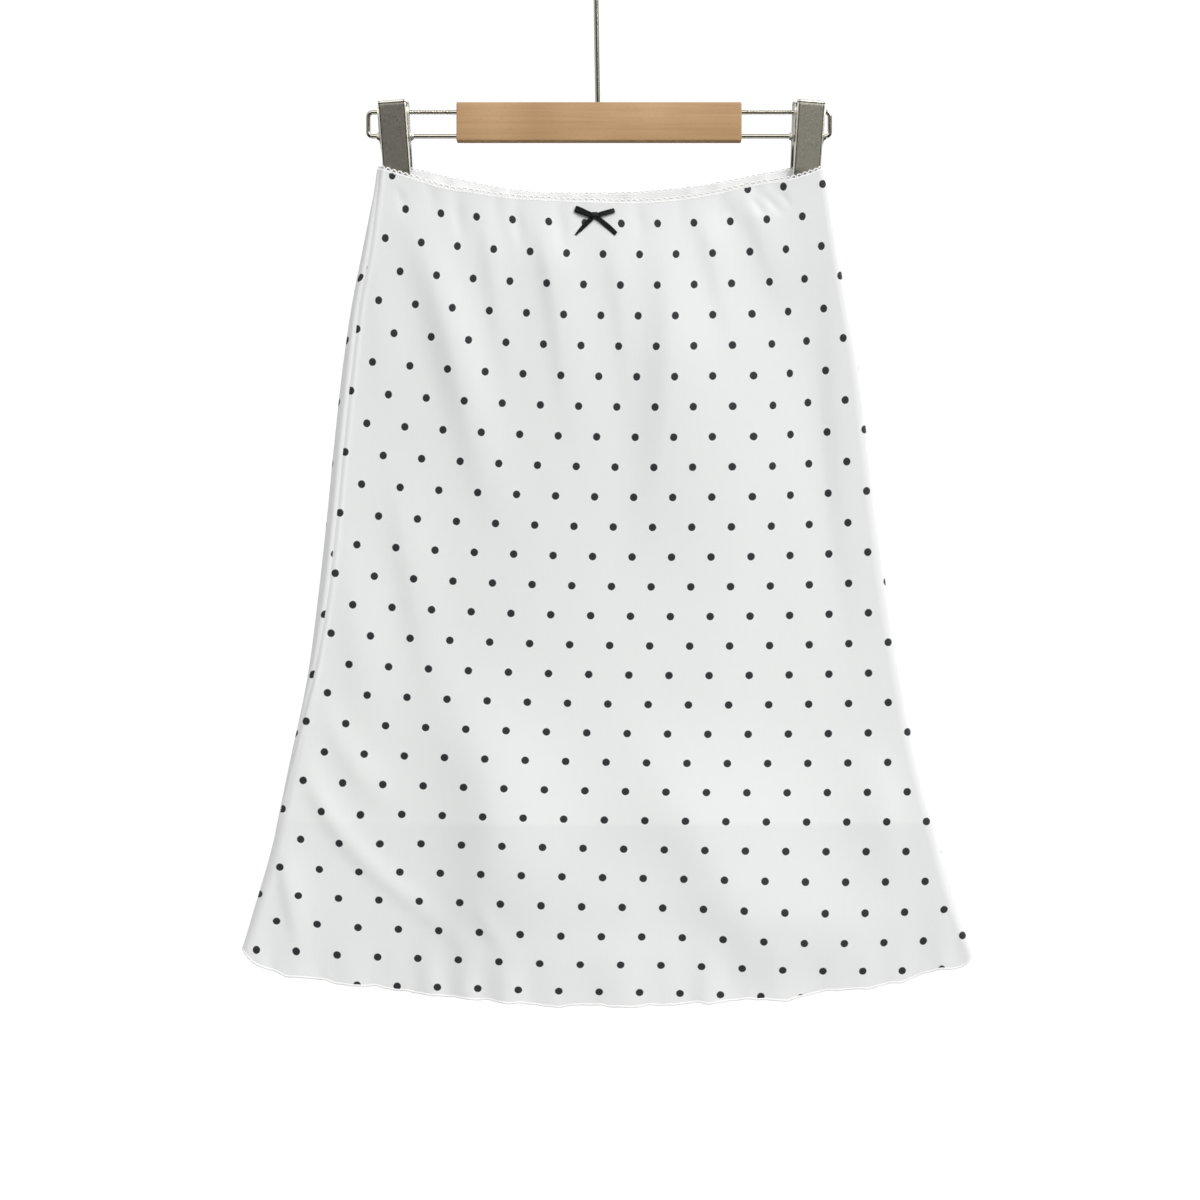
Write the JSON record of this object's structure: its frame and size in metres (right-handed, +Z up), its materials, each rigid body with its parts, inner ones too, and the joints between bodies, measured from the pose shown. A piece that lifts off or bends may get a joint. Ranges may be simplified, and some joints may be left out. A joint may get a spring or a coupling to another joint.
{
  "type": "mermaid skirt on clip hanger",
  "caption": "Knee-length white skirt with black polka dots, fitted hips, flared wavy hem, picot elastic waist and ribbon bow, hung from a wooden clip hanger.",
  "frame": {"origin": "the point inside the top of the hanger's hook where it rests on a rail", "axes": "+Z up, -Y out of the front of the skirt, +X to the right of someone who looks at the front"},
  "size_m": [0.5293, 0.0635, 0.7738],
  "materials": {
    "dotted_cloth": "soft matt white jersey printed with black dots",
    "elastic": "white picot elastic",
    "ribbon": "black satin ribbon",
    "hanger_wood": "clear-lacquered beech",
    "hanger_wire": "bright nickel-plated wire",
    "clip_steel": "nickel-plated pressed steel"
  },
  "bodies": {
    "root": {"front_panel": "dotted_cloth", "back_panel": "dotted_cloth", "waist_elastic_front": "elastic", "waist_elastic_back": "elastic", "bow_loop_left": "ribbon", "bow_loop_right": "ribbon", "bow_tail_left": "ribbon", "bow_tail_right": "ribbon", "bow_knot": "ribbon", "hanger_bar": "hanger_wood", "hook": "hanger_wire", "hanger_wire_left": "hanger_wire", "hanger_wire_right": "hanger_wire", "clip_left_front_jaw": "clip_steel", "clip_left_back_jaw": "clip_steel", "clip_left_eyelet": "clip_steel", "clip_right_front_jaw": "clip_steel", "clip_right_back_jaw": "clip_steel", "clip_right_eyelet": "clip_steel"}
  },
  "joints": []
}
